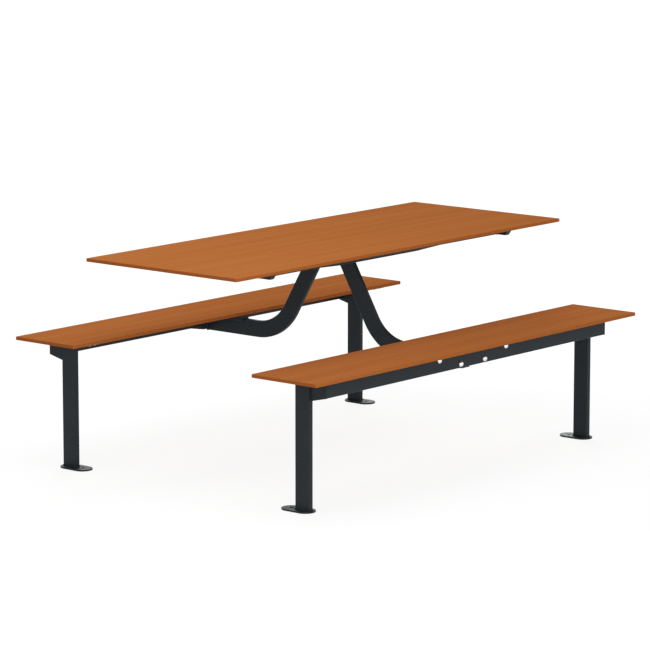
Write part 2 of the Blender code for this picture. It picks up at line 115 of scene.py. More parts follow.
# Two noises added together keep mostly within this range.
TONE_LOW = 0.7
TONE_HIGH = 1.3
# The sockets of a colour Mix node go by number, because several of them share a name.
MIX_SHARE, MIX_FIRST, MIX_SECOND, MIX_RESULT = 0, 6, 7, 2
powder_coat, tree, shader = new_material("powder_coated_steel")
place = add_node(tree, "ShaderNodeTexCoord", {}).outputs["Object"]
cloud = add_node(tree, "ShaderNodeTexNoise",
                 {"Vector": place, "Scale": 1 / COAT_CLOUD, "Detail": COAT_CLOUD_DETAIL})
peel = add_node(tree, "ShaderNodeTexNoise",
                {"Vector": place, "Scale": 1 / COAT_PEEL, "Detail": COAT_PEEL_DETAIL})
tone = add_node(tree, "ShaderNodeMath", {0: cloud.outputs["Fac"], 1: peel.outputs["Fac"]}, operation="ADD")
shade = add_node(tree, "ShaderNodeMapRange",
                 {"Value": tone.outputs["Value"], "From Min": TONE_LOW, "From Max": TONE_HIGH})
colour = add_node(tree, "ShaderNodeMix",
                  {MIX_SHARE: shade.outputs["Result"], MIX_FIRST: COAT_DARK, MIX_SECOND: COAT_LIGHT},
                  data_type="RGBA")
gloss = add_node(tree, "ShaderNodeMapRange",
                 {"Value": tone.outputs["Value"], "From Min": TONE_LOW, "From Max": TONE_HIGH,
                  "To Min": COAT_SMOOTHEST, "To Max": COAT_ROUGHEST})
bump = add_node(tree, "ShaderNodeBump",
                {"Height": peel.outputs["Fac"], "Strength": COAT_PEEL_STRENGTH,
                 "Distance": COAT_PEEL_DEPTH})
tree.links.new(colour.outputs[MIX_RESULT], shader.inputs["Base Color"])
tree.links.new(gloss.outputs["Result"], shader.inputs["Roughness"])
tree.links.new(bump.outputs["Normal"], shader.inputs["Normal"])
shader.inputs["Specular IOR Level"].default_value = COAT_SPECULAR


def finish_piece(name, shape, slot, *materials):
    """Make a piece of a shape that is in place, smooth on its rounded edges and flat on its faces."""
    mesh = bpy.data.meshes.new(name)
    shape.to_mesh(mesh)
    shape.free()
    mesh.shade_smooth()
    for material in materials:
        mesh.materials.append(material)
    piece = bpy.data.objects.new(name, mesh)
    bpy.context.scene.collection.objects.link(piece)
    piece.modifiers.new("flat_faces", "WEIGHTED_NORMAL").keep_sharp = True
    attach(piece, "root")
    return piece


def steel_form(node):
    """A copy of a steel piece's shape, with its flat sides as whole faces."""
    shape = bmesh.new()
    shape.from_mesh(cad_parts[node].data)
    bmesh.ops.remove_doubles(shape, verts=shape.verts, dist=CLOSE)
    bmesh.ops.dissolve_limit(shape, angle_limit=FLAT, verts=shape.verts, edges=shape.edges)
    return shape


def sharp_edges(shape):
    """The edges of a shape where its faces meet at a sharp angle."""
    return [line for line in shape.edges if line.calc_face_angle(0) > SHARP]


def coat(node, shape, edge, steps=EDGE_STEPS):
    """Finish a steel piece: its sharp edges are rounded, as grinding and the powder leave them."""
    bmesh.ops.bevel(shape, geom=sharp_edges(shape), offset=edge, segments=steps, profile=0.5,
                    affect="EDGES", material=-1, clamp_overlap=True)
    piece = finish_piece(f"coated_{node}", shape, "frame", powder_coat)
    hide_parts(node)


for corner in CORNERS:
    coat(f"{corner}_foot_plate", steel_form(f"{corner}_foot_plate"), CUT_EDGE)

# Posts: flat rectangular steel tubes, one near each end of a bench.
# Each stands on its foot plate in a fillet weld that runs all round it,
# and carries a seat plate the same way.
TUBE_END = 0.0004
POST_CORNER = 0.0015
POST_WELD = 0.004
WELD_BULGE = 0.58
WELD_STEPS = 4
QUARTERS = ((1, 1), (-1, 1), (-1, -1), (1, -1))
HALF_TURN = math.pi


def only(kind, items):
    """The items of one kind, such as edges, among those that an operator gives back."""
    return [item for item in items if isinstance(item, kind)]


def trim(shape, point, outward):
    """Cut a closed shape off at a plane and close the cut."""
    cut = bmesh.ops.bisect_plane(shape, geom=shape.verts[:] + shape.edges[:] + shape.faces[:],
                                 plane_co=point, plane_no=outward, clear_outer=True)
    bmesh.ops.holes_fill(shape, edges=only(bmesh.types.BMEdge, cut["geom_cut"]))


def stand_at(point, turn):
    """Matrix that turns a shape about X and then moves its origin to a point."""
    return Matrix.Translation(point) @ Matrix.Rotation(turn, 4, "X")


def weld_ring(name, width, depth, corner, leg, stand, top=None):
    """Fillet weld round a bar that stands on a plate, cut off level at top where that is given.

    The matrix stand takes the bar's foot from the origin, and its length from +Z, to their place.
    """
    bead = bmesh.new()
    loops = []
    for outset, height in ((leg, 0.0), (WELD_BULGE * leg, WELD_BULGE * leg), (0.0, leg), (0.0, 0.0)):
        ring = bmesh.ops.create_circle(bead, cap_ends=True, segments=len(QUARTERS), radius=1.0)["verts"]
        for point, (x, y) in zip(ring, QUARTERS):
            point.co = (x * (width / 2 + outset), y * (depth / 2 + outset), height)
        bmesh.ops.bevel(bead, geom=ring, offset=corner + outset, segments=WELD_STEPS, profile=0.5,
                        affect="VERTICES", material=-1)
        bead.faces.ensure_lookup_table()
        cap = bead.faces[-1]
        loops.append(list(cap.edges))
        bmesh.ops.delete(bead, geom=[cap], context="FACES_ONLY")
    for near, far in zip(loops, loops[1:] + loops[:1]):
        bmesh.ops.bridge_loops(bead, edges=near + far)
    bmesh.ops.transform(bead, matrix=stand, verts=bead.verts)
    if top is not None:
        trim(bead, (0, 0, top), (0, 0, 1))
    bmesh.ops.recalc_face_normals(bead, faces=bead.faces)
    finish_piece(name, bead, "frame", powder_coat)


for corner in CORNERS:
    coat(f"{corner}_post", steel_form(f"{corner}_post"), TUBE_END)
    low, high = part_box(f"{corner}_post")
    middle = (low + high) / 2
    for level, turn, spot in ((low.z, 0.0, "foot"), (high.z, HALF_TURN, "head")):
        stand = stand_at((middle.x, middle.y, level), turn)
        weld_ring(f"{corner}_post_{spot}_weld", high.x - low.x, high.y - low.y, POST_CORNER, POST_WELD,
                  stand)

# Seat plates: small steel plates welded on the posts, which carry the ends of the seat boards.
# Their inner ends are ground to a slope below, and two zinc-plated low-head screws
# go up through each into the board.
PLATE_SLOPE_LENGTH = 0.0095
PLATE_SLOPE_HEIGHT = 0.0027
SCREW_HEAD = 0.0125
SCREW_HEAD_HEIGHT = 0.0018
SCREW_RIM = 0.0005
SCREW_SOCKET = 0.0040
SCREW_SOCKET_DEPTH = 0.0011
SCREW_EDGE = 0.016
TURNED_STEPS = 36
DOME_STEPS = 8
QUARTER_TURN = math.pi / 2
FULL_TURN = 2 * math.pi
# A socket's hexagon is drawn in from a round rim, with this share of its width across flats as radius.
SOCKET_RIM = 0.58
# The angle from the middle of a hexagon's flat to its corner.
HALF_FLAT = math.pi / 6

# Zinc-plated steel: a thin bright coat with a cool cast, slightly cloudy from the bath.
ZINC_PALE = linear("#c9ccd0")
ZINC_DULL = linear("#a3a7ad")
ZINC_SMOOTHEST = 0.28
ZINC_ROUGHEST = 0.46
ZINC_CLOUD = 3 * MILLIMETRE
ZINC_CLOUD_DETAIL = 4.0
METAL = 1.0
zinc, tree, shader = new_material("zinc_plated_steel")
place = add_node(tree, "ShaderNodeTexCoord", {}).outputs["Object"]
cloud = add_node(tree, "ShaderNodeTexNoise",
                 {"Vector": place, "Scale": 1 / ZINC_CLOUD, "Detail": ZINC_CLOUD_DETAIL})
colour = add_node(tree, "ShaderNodeMix",
                  {MIX_SHARE: cloud.outputs["Fac"], MIX_FIRST: ZINC_DULL, MIX_SECOND: ZINC_PALE},
                  data_type="RGBA")
gloss = add_node(tree, "ShaderNodeMapRange",
                 {"Value": cloud.outputs["Fac"], "To Min": ZINC_SMOOTHEST, "To Max": ZINC_ROUGHEST})
tree.links.new(colour.outputs[MIX_RESULT], shader.inputs["Base Color"])
tree.links.new(gloss.outputs["Result"], shader.inputs["Roughness"])
shader.inputs["Metallic"].default_value = METAL


def turned(profile):
    """Spin a profile of radius and height about Z, as on a lathe."""
    shape = bmesh.new()
    points = [shape.verts.new((radius, 0, height)) for radius, height in profile]
    lines = [shape.edges.new(pair) for pair in zip(points, points[1:])]
    bmesh.ops.spin(shape, geom=points + lines, axis=(0, 0, 1), cent=(0, 0, 0), angle=FULL_TURN,
                   steps=TURNED_STEPS, use_merge=True)
    bmesh.ops.remove_doubles(shape, verts=shape.verts, dist=CLOSE)
    bmesh.ops.recalc_face_normals(shape, faces=shape.faces)
    return shape


def to_hexagon(points, across_flats):
    """Draw round points in to a hexagon wherever they lie outside it."""
    for point in points:
        angle = math.atan2(point.co.y, point.co.x)
        off_flat = (angle + HALF_FLAT) % (2 * HALF_FLAT) - HALF_FLAT
        reach = math.hypot(point.co.x, point.co.y)
        shrink = min(1.0, across_flats / 2 / math.cos(off_flat) / reach)
        point.co.x *= shrink
        point.co.y *= shrink


def sink_socket(shape, across_flats, depth):
    """Sink a hexagon socket into the open rim that a turned head has at its top."""
    rim = [line for line in shape.edges if line.is_boundary]
    to_hexagon({point for line in rim for point in line.verts}, across_flats)
    floor = bmesh.ops.extrude_edge_only(shape, edges=rim)["geom"]
    bmesh.ops.translate(shape, verts=only(bmesh.types.BMVert, floor), vec=(0, 0, -depth))
    bottom = bmesh.ops.holes_fill(shape, edges=only(bmesh.types.BMEdge, floor))
    bmesh.ops.poke(shape, faces=bottom["faces"])
    bmesh.ops.recalc_face_normals(shape, faces=shape.faces)


def dome_profile(radius, height, rim, start):
    """Outer edge of a domed head, from the radius start at its top down to its seat at height zero."""
    first = math.asin(start / radius)
    angles = [first + (QUARTER_TURN - first) * step / DOME_STEPS for step in range(DOME_STEPS + 1)]
    dome = [(radius * math.sin(angle), rim + (height - rim) * math.cos(angle)) for angle in angles]
    return dome + [(radius, 0.0)]


def board_screws(name, seats):
    """Low-head screws seen from below, with the underside of each head against its seat."""
    dome = dome_profile(SCREW_HEAD / 2, SCREW_HEAD_HEIGHT, SCREW_RIM, SCREW_SOCKET * SOCKET_RIM)
    group = bmesh.new()
    for seat in seats:
        head = turned(dome + [(0.0, 0.0)])
        sink_socket(head, SCREW_SOCKET, SCREW_SOCKET_DEPTH)
        bmesh.ops.transform(head, matrix=stand_at(seat, HALF_TURN), verts=head.verts)
        single = bpy.data.meshes.new(name)
        head.to_mesh(single)
        head.free()
        group.from_mesh(single)
        bpy.data.meshes.remove(single)
    finish_piece(name, group, "zinc_bolt", zinc)


seats = []
for corner in CORNERS:
    low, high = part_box(f"{corner}_seat_plate")
    outward, inner_y = (1, low.y) if low.y > 0 else (-1, high.y)
    slope_foot = (0, inner_y + outward * PLATE_SLOPE_LENGTH, low.z)
    plate = steel_form(f"{corner}_seat_plate")
    trim(plate, slope_foot, (0, -outward * PLATE_SLOPE_HEIGHT, -PLATE_SLOPE_LENGTH))
    coat(f"{corner}_seat_plate", plate, CUT_EDGE)
    hole_y = inner_y + outward * SCREW_EDGE
    seats += [(x, hole_y, low.z) for x in (low.x + SCREW_EDGE, high.x - SCREW_EDGE)]
board_screws("seat_plate_screws", seats)

# End gussets: flat steel plates between a post and the end of its seat beam, cut with a sloping lower edge.
# They are set back from the post's outer face and held by a straight fillet weld on either side.
GUSSET_WELD = 0.003


def weld_run(bead, start, stop, up_one_face, up_other_face, leg):
    """Add a straight fillet weld to a shape, in the corner where two faces meet."""
    root = Vector(start)
    one = Vector(up_one_face) * leg
    other = Vector(up_other_face) * leg
    section = (root, root + one, root + (one + other) * WELD_BULGE, root + other)
    cap = bead.faces.new([bead.verts.new(point) for point in section])
    grown = bmesh.ops.extrude_face_region(bead, geom=[cap])["geom"]
    bmesh.ops.translate(bead, verts=only(bmesh.types.BMVert, grown), vec=Vector(stop) - root)
    bmesh.ops.recalc_face_normals(bead, faces=bead.faces)


bead = bmesh.new()
for corner in CORNERS:
    coat(f"{corner}_gusset", steel_form(f"{corner}_gusset"), CUT_EDGE)
    low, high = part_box(f"{corner}_gusset")
    post_low, post_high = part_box(f"{corner}_post")
    outward = math.copysign(1, low.y)
    post_face = post_high.y if outward > 0 else post_low.y
    for x, sideways in ((low.x, -1), (high.x, 1)):
        weld_run(bead, (x, post_face, low.z), (x, post_face, post_high.z),
                 (0, outward, 0), (sideways, 0, 0), GUSSET_WELD)
finish_piece("gusset_welds", bead, "frame", powder_coat)

# Seat beams: rectangular steel tubes under the outer side of each seat, drilled for four bolts.
# A short lug under each one rests the beam on the arm's joint while it is bolted up.
LUG_EDGE = 0.0015
for side in SIDES:
    coat(f"{side}_seat_beam", steel_form(f"{side}_seat_beam"), TUBE_END)
    coat(f"{side}_beam_lug", steel_form(f"{side}_beam_lug"), LUG_EDGE)

# Arms: flat steel bars, level under the seat, bent once on edge and straight up to the middle of the table.
# Each is welded all round to a wide flange behind the seat beam and to a head plate under the table.
OUTWARD = {"front": -1, "rear": 1}
ARM_DEPTH = 0.056
ARM_RISE = math.radians(60)
ARM_RIM = 0.003
ARM_EDGE = 0.0040
ARM_EDGE_STEPS = 6
ARM_WELD = 0.005


def leaning(slope):
    """Matrix that shifts a shape along Y by slope times the height of each point."""
    lean = Matrix.Identity(4)
    lean[1][2] = slope
    return lean


for side in SIDES:
    low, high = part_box(f"{side}_arm")
    width = high.x - low.x
    bar = steel_form(f"{side}_arm")
    # The flat of the broad side stops where the solid's edges round off, so it is drawn out to full depth.
    broad_side = max((face for face in bar.faces if face.normal.x < 0), key=lambda face: face.calc_area())
    bmesh.ops.delete(bar, geom=[face for face in bar.faces if face is not broad_side], context="FACES")
    rim = bmesh.ops.inset_region(bar, faces=[broad_side], thickness=-ARM_RIM, use_boundary=True,
                                 use_even_offset=True)["faces"]
    bmesh.ops.delete(bar, geom=rim, context="FACES")
    grown = bmesh.ops.extrude_face_region(bar, geom=bar.faces[:])["geom"]
    bmesh.ops.translate(bar, verts=only(bmesh.types.BMVert, grown), vec=(width, 0, 0))
    bmesh.ops.recalc_face_normals(bar, faces=bar.faces)
    coat(f"{side}_arm", bar, ARM_EDGE, ARM_EDGE_STEPS)
    coat(f"{side}_arm_flange", steel_form(f"{side}_arm_flange"), CUT_EDGE)
    coat(f"{side}_head_plate", steel_form(f"{side}_head_plate"), CUT_EDGE)
    flange_low, flange_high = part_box(f"{side}_arm_flange")
    plate_low, plate_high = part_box(f"{side}_head_plate")
    outward = OUTWARD[side]
    flange_face = flange_low.y if outward > 0 else flange_high.y
    stand = stand_at((0, flange_face, low.z + ARM_DEPTH / 2), outward * QUARTER_TURN)
    weld_ring(f"{side}_arm_flange_weld", width, ARM_DEPTH, ARM_EDGE, ARM_WELD, stand)
    stand = stand_at((0, (plate_low.y + plate_high.y) / 2, plate_low.z), HALF_TURN)
    stand = stand @ leaning(-outward / math.tan(ARM_RISE))
    slanted_depth = ARM_DEPTH / math.sin(ARM_RISE)
    weld_ring(f"{side}_arm_head_weld", width, slanted_depth, ARM_EDGE, ARM_WELD, stand)

# Flange bolts: stainless carriage bolts with plain domed heads on the beam's outer face.
# They pass through beam and flange into hexagon nuts that are welded on behind and coated with the frame.
BOLT_RIM = 0.0010
BOLT_SHANK = 0.006
BOLT_TIP = 0.0010
NUT_CHAMFER = 0.0014
NUT_FLATS = 0.019
NUT_CORNERS = NUT_FLATS / 2 / math.cos(HALF_FLAT)
NUT_BORE = 0.0062
NUT_FACE = 0.0092
ROWS = ("inner", "outer")

# Stainless steel: turned and then tumbled, so it is bright and almost white under an open sky,
# with a faint unevenness that blurs its reflections.
STAINLESS_PALE = linear("#f0f1f2")
STAINLESS_DULL = linear("#d9dadc")
STAINLESS_SMOOTHEST = 0.22
STAINLESS_ROUGHEST = 0.36
STAINLESS_GRAIN = 1.5 * MILLIMETRE
STAINLESS_DETAIL = 3.0
stainless, tree, shader = new_material("tumbled_stainless_steel")
place = add_node(tree, "ShaderNodeTexCoord", {}).outputs["Object"]
grain = add_node(tree, "ShaderNodeTexNoise",
                 {"Vector": place, "Scale": 1 / STAINLESS_GRAIN, "Detail": STAINLESS_DETAIL})
colour = add_node(tree, "ShaderNodeMix",
                  {MIX_SHARE: grain.outputs["Fac"], MIX_FIRST: STAINLESS_DULL, MIX_SECOND: STAINLESS_PALE},
                  data_type="RGBA")
gloss = add_node(tree, "ShaderNodeMapRange",
                 {"Value": grain.outputs["Fac"], "To Min": STAINLESS_SMOOTHEST,
                  "To Max": STAINLESS_ROUGHEST})
tree.links.new(colour.outputs[MIX_RESULT], shader.inputs["Base Color"])
tree.links.new(gloss.outputs["Result"], shader.inputs["Roughness"])
shader.inputs["Metallic"].default_value = METAL

for side in SIDES:
    outward = OUTWARD[side]
    turn = -outward * QUARTER_TURN
    beam_low, beam_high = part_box(f"{side}_seat_beam")
    beam_face = beam_high.y if outward > 0 else beam_low.y
    for name in [f"{side}_{row}_{end}" for row in ROWS for end in ENDS]:
        low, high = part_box(f"{name}_bolt")
        middle = (low + high) / 2
        radius = (high.x - low.x) / 2
        head = max(abs(low.y), abs(high.y)) - abs(beam_face)
        tip = min(abs(low.y), abs(high.y)) - abs(beam_face)
        shank = [(BOLT_SHANK, 0.0), (BOLT_SHANK, tip + BOLT_TIP), (BOLT_SHANK - BOLT_TIP, tip), (0.0, tip)]
        bolt = turned(dome_profile(radius, head, BOLT_RIM, 0.0) + shank)
        stand = stand_at((middle.x, beam_face, middle.z), turn)
        bmesh.ops.transform(bolt, matrix=stand, verts=bolt.verts)
        piece = finish_piece(f"{name}_carriage_bolt", bolt, "stainless_bolt", stainless)
        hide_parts(f"{name}_bolt")

        low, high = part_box(f"{name}_nut")
        half = (high.y - low.y) / 2
        nut = turned([(NUT_BORE, half), (NUT_FACE, half), (NUT_CORNERS, half - NUT_CHAMFER),
                      (NUT_CORNERS, NUT_CHAMFER - half), (NUT_FACE, -half), (NUT_BORE, -half),
                      (NUT_BORE, half)])
        rim = [point for point in nut.verts if math.hypot(point.co.x, point.co.y) > NUT_FACE + CLOSE]
        to_hexagon(rim, NUT_FLATS)
        bmesh.ops.transform(nut, matrix=stand_at((low + high) / 2, turn), verts=nut.verts)
        piece = finish_piece(f"{name}_hexagon_nut", nut, "frame", powder_coat)
        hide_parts(f"{name}_nut")

# Seat angles: a pair of thick steel angles set over each arm, which fill the room between arm and seat.
# Each is welded to the arm's side along its lower edge, and the seat rests on the pair.
ANGLE_EDGE = 0.0010
ANGLE_WELD = 0.004
bead = bmesh.new()
for corner in CORNERS:
    coat(f"{corner}_seat_angle", steel_form(f"{corner}_seat_angle"), ANGLE_EDGE)
    low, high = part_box(f"{corner}_seat_angle")
    arm_low, arm_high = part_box(f"{corner.split('_')[0]}_arm")
    sideways = math.copysign(1, low.x + high.x)
    arm_side = arm_high.x if sideways > 0 else arm_low.x
    weld_run(bead, (arm_side, low.y, low.z), (arm_side, high.y, low.z),
             (0, 0, -1), (sideways, 0, 0), ANGLE_WELD)
finish_piece("seat_angle_welds", bead, "frame", powder_coat)

# Table frame: two steel tube crossbars and two tube rails between them, with a stiffener plate
# behind each rail and a spine between the stiffeners.
# It is welded as one piece and screwed up into the table board.
FRAME_CORNER = 0.004
FRAME_WELD = 0.004
WELD_STOP = 0.0003
STITCH_LENGTH = 0.050
STITCH_SPACING = 0.150
STITCHES = 2
CROSSBAR_SCREWS = (-0.20, 0.0, 0.20)
seats = []
bead = bmesh.new()
for end in ENDS:
    coat(f"{end}_crossbar", steel_form(f"{end}_crossbar"), TUBE_END)
    low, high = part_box(f"{end}_crossbar")
    seats += [((low.x + high.x) / 2, y, low.z) for y in CROSSBAR_SCREWS]
    inward = 1 if end == "left" else -1
    bar_face = high.x if inward > 0 else low.x
    for side in SIDES:
        rail_low, rail_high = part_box(f"{side}_rail")
        for y, sideways in ((rail_low.y, -1), (rail_high.y, 1)):
            weld_run(bead, (bar_face, y, rail_low.z), (bar_face, y, rail_high.z),
                     (inward, 0, 0), (0, sideways, 0), FRAME_WELD)
board_screws("crossbar_screws", seats)
coat("spine", steel_form("spine"), TUBE_END)
spine_low, spine_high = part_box("spine")
spine_size = spine_high - spine_low
for side in SIDES:
    coat(f"{side}_rail", steel_form(f"{side}_rail"), TUBE_END)
    coat(f"{side}_rail_stiffener", steel_form(f"{side}_rail_stiffener"), CUT_EDGE)
    low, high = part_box(f"{side}_rail_stiffener")
    rail_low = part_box(f"{side}_rail")[0]
    outward = OUTWARD[side]
    outer_face, inner_face = (high.y, low.y) if outward > 0 else (low.y, high.y)
    for stitch in range(-STITCHES, STITCHES + 1):
        x = stitch * STITCH_SPACING
        start = (x - STITCH_LENGTH / 2, outer_face, rail_low.z)
        stop = (x + STITCH_LENGTH / 2, outer_face, rail_low.z)
        weld_run(bead, start, stop, (0, 0, -1), (0, outward, 0), FRAME_WELD)
    stand = stand_at((0, inner_face, (spine_low.z + spine_high.z) / 2), outward * QUARTER_TURN)
    weld_ring(f"{side}_spine_weld", spine_size.x, spine_size.z, FRAME_CORNER, FRAME_WELD, stand,
              top=spine_high.z - WELD_STOP)
finish_piece("table_frame_welds", bead, "frame", powder_coat)

# Crossbar ends: thin steel plates set into the sloping ends of the crossbars, which keep water out of them.
# They are welded in a hair behind the rim and coated with the frame.
CROSSBAR_SLANT = math.radians(35)
FRAME_WALL = 0.002
END_PLATE_FIT = 0.0002
END_PLATE_INSET = FRAME_WALL + END_PLATE_FIT
END_PLATE_THICKNESS = 0.002
END_PLATE_RECESS = 0.0003
END_PLATE_CORNER = 0.002
END_PLATE_EDGE = 0.0004
ALONG_Y, ALONG_Z = 1, 2


def block(size):
    """A box of a given size about the origin."""
    shape = bmesh.new()
    bmesh.ops.create_cube(shape, size=1.0)
    bmesh.ops.scale(shape, vec=size, verts=shape.verts)
    return shape


def edges_along(shape, axis):
    """The edges of a box that run along one axis."""
    return [line for line in shape.edges if abs(line.verts[0].co[axis] - line.verts[1].co[axis]) > CLOSE]


def round_edges(shape, lines, radius, steps):
    """Round some edges of a shape to a radius."""
    bmesh.ops.bevel(shape, geom=lines, offset=radius, segments=steps, profile=0.5,
                    affect="EDGES", material=-1)


for end in ENDS:
    low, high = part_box(f"{end}_crossbar")
    middle = (low + high) / 2
    size = (high.x - low.x - 2 * END_PLATE_INSET, END_PLATE_THICKNESS, high.z - low.z - 2 * END_PLATE_INSET)
    slant = math.tan(CROSSBAR_SLANT)
    set_back = slant * (high.z - low.z) / 2 + END_PLATE_RECESS + END_PLATE_THICKNESS / 2
    for side, rim in zip(SIDES, (low.y, high.y)):
        outward = OUTWARD[side]
        plate = block(size)
        round_edges(plate, edges_along(plate, ALONG_Y), END_PLATE_CORNER, WELD_STEPS)
        round_edges(plate, sharp_edges(plate), END_PLATE_EDGE, EDGE_STEPS)
        stand = Matrix.Translation((middle.x, rim - outward * set_back, middle.z))
        bmesh.ops.transform(plate, matrix=stand @ leaning(outward * slant), verts=plate.verts)
        finish_piece(f"{end}_crossbar_{side}_end_plate", plate, "frame", powder_coat)

# Head screws: zinc-plated socket screws that pull each arm's head plate up against the spine.
# They are the last ones to go in, so that the two benches can be set level first.
CAP_CHAMFER = 0.0007
CAP_SOCKET = 0.008
CAP_SOCKET_DEPTH = 0.005
CAP_SHANK = 0.005
for name in [f"{corner}_head_bolt" for corner in CORNERS]:
    low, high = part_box(name)
    middle = (low + high) / 2
    radius = (high.x - low.x) / 2
    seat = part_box(f"{name.split('_')[0]}_head_plate")[0].z
    head = seat - low.z
    tip = seat - high.z
    screw = turned([(CAP_SOCKET * SOCKET_RIM, head), (radius - CAP_CHAMFER, head),
                    (radius, head - CAP_CHAMFER), (radius, 0.0), (CAP_SHANK, 0.0), (CAP_SHANK, tip),
                    (0.0, tip)])
    sink_socket(screw, CAP_SOCKET, CAP_SOCKET_DEPTH)
    stand = stand_at((middle.x, middle.y, seat), HALF_TURN)
    bmesh.ops.transform(screw, matrix=stand, verts=screw.verts)
    piece = finish_piece(f"{name}_socket_screw", screw, "zinc_bolt", zinc)
    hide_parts(name)

# Boards: a table top and two seats of 12 mm compact laminate, cut to shape with rounded corners
# and softened edges. They are screwed on from below, so nothing shows on their tops.
BOARD_CORNER = 0.006
BOARD_CORNER_STEPS = 6
BOARD_ARRIS = 0.0018
BOARD_ARRIS_STEPS = 3
LAMINATE_SPECULAR = 0.0

# Wood-look laminate face: a printed red-brown timber grain, straight along the board, under a matt
# melamine skin. Its pores are drawn coarser than printed ones, which would be too fine to show.
WOOD_DARK = linear("#b06835")
WOOD_LIGHT = linear("#bc7440")
WOOD_ROUGHEST = 0.62
WOOD_SMOOTHEST = 0.54
WOOD_DETAIL = 3.0
GRAIN_LENGTH = 420 * MILLIMETRE
GRAIN_WIDTH = 7 * MILLIMETRE
BAND_LENGTH = 1500 * MILLIMETRE
BAND_WIDTH = 45 * MILLIMETRE
PORE_BROWN = linear("#985a2c")
PORE_LENGTH = 30 * MILLIMETRE
PORE_WIDTH = 1.6 * MILLIMETRE
PORE_START = 0.60
PORE_FULL = 0.72
PORE_SHARE = 0.3
PORE_DEPTH = 0.1 * MILLIMETRE
PORE_STRENGTH = 0.1
decor, tree, shader = new_material("wood_look_laminate")
place = add_node(tree, "ShaderNodeTexCoord", {}).outputs["Object"]
layers = {}
for layer, length, width in (("grain", GRAIN_LENGTH, GRAIN_WIDTH), ("band", BAND_LENGTH, BAND_WIDTH),
                             ("pore", PORE_LENGTH, PORE_WIDTH)):
    stretch = add_node(tree, "ShaderNodeMapping",
                       {"Vector": place, "Scale": (1 / length, 1 / width, 1 / width)})
    noise = add_node(tree, "ShaderNodeTexNoise",
                     {"Vector": stretch.outputs["Vector"], "Scale": 1.0, "Detail": WOOD_DETAIL})
    layers[layer] = noise.outputs["Fac"]
tone = add_node(tree, "ShaderNodeMath", {0: layers["grain"], 1: layers["band"]}, operation="ADD")
streak = add_node(tree, "ShaderNodeMapRange",
                  {"Value": tone.outputs["Value"], "From Min": TONE_LOW, "From Max": TONE_HIGH})
timber = add_node(tree, "ShaderNodeMix",
                  {MIX_SHARE: streak.outputs["Result"], MIX_FIRST: WOOD_DARK, MIX_SECOND: WOOD_LIGHT},
                  data_type="RGBA")
pores = add_node(tree, "ShaderNodeMapRange",
                 {"Value": layers["pore"], "From Min": PORE_START, "From Max": PORE_FULL,
                  "To Max": PORE_SHARE})
colour = add_node(tree, "ShaderNodeMix",
                  {MIX_SHARE: pores.outputs["Result"], MIX_FIRST: timber.outputs[MIX_RESULT],
                   MIX_SECOND: PORE_BROWN},
                  data_type="RGBA")
gloss = add_node(tree, "ShaderNodeMapRange",
                 {"Value": streak.outputs["Result"], "To Min": WOOD_ROUGHEST, "To Max": WOOD_SMOOTHEST})
bump = add_node(tree, "ShaderNodeBump",
                {"Height": pores.outputs["Result"], "Strength": PORE_STRENGTH, "Distance": PORE_DEPTH},
                invert=True)
tree.links.new(colour.outputs[MIX_RESULT], shader.inputs["Base Color"])
tree.links.new(gloss.outputs["Result"], shader.inputs["Roughness"])
tree.links.new(bump.outputs["Normal"], shader.inputs["Normal"])
shader.inputs["Specular IOR Level"].default_value = LAMINATE_SPECULAR

# Laminate core: pressed paper and resin tinted like the face, so the long edges are only a shade darker.
# The short ends get a darker copy of the core: painted shade, for the less light that falls on them.
# The layers are drawn coarser than real sheets of paper, which would be too fine to show.
CORE_DARK = linear("#a05b2a")
CORE_LIGHT = linear("#ac6431")
# Painted shade: a darker copy of the core colours, for the short ends of the boards.
SHADED_CORE_DARK = linear("#925027")
SHADED_CORE_LIGHT = linear("#9e592d")
CORE_SMOOTHEST = 0.50
CORE_ROUGHEST = 0.65
CORE_LAYER = 0.8 * MILLIMETRE
CORE_RUN = 120 * MILLIMETRE
CORE_DETAIL = 2.0
core_and_shaded_end = []
for name, dark, light in (("laminate_core", CORE_DARK, CORE_LIGHT),
                          ("laminate_end_cut", SHADED_CORE_DARK, SHADED_CORE_LIGHT)):
    cut, tree, shader = new_material(name)
    place = add_node(tree, "ShaderNodeTexCoord", {}).outputs["Object"]
    stretch = add_node(tree, "ShaderNodeMapping",
                       {"Vector": place, "Scale": (1 / CORE_RUN, 1 / CORE_RUN, 1 / CORE_LAYER)})
    ply = add_node(tree, "ShaderNodeTexNoise",
                   {"Vector": stretch.outputs["Vector"], "Scale": 1.0, "Detail": CORE_DETAIL})
    colour = add_node(tree, "ShaderNodeMix",
                      {MIX_SHARE: ply.outputs["Fac"], MIX_FIRST: dark, MIX_SECOND: light}, data_type="RGBA")
    gloss = add_node(tree, "ShaderNodeMapRange",
                     {"Value": ply.outputs["Fac"], "To Min": CORE_SMOOTHEST, "To Max": CORE_ROUGHEST})
    tree.links.new(colour.outputs[MIX_RESULT], shader.inputs["Base Color"])
    tree.links.new(gloss.outputs["Result"], shader.inputs["Roughness"])
    shader.inputs["Specular IOR Level"].default_value = LAMINATE_SPECULAR
    core_and_shaded_end.append(cut)

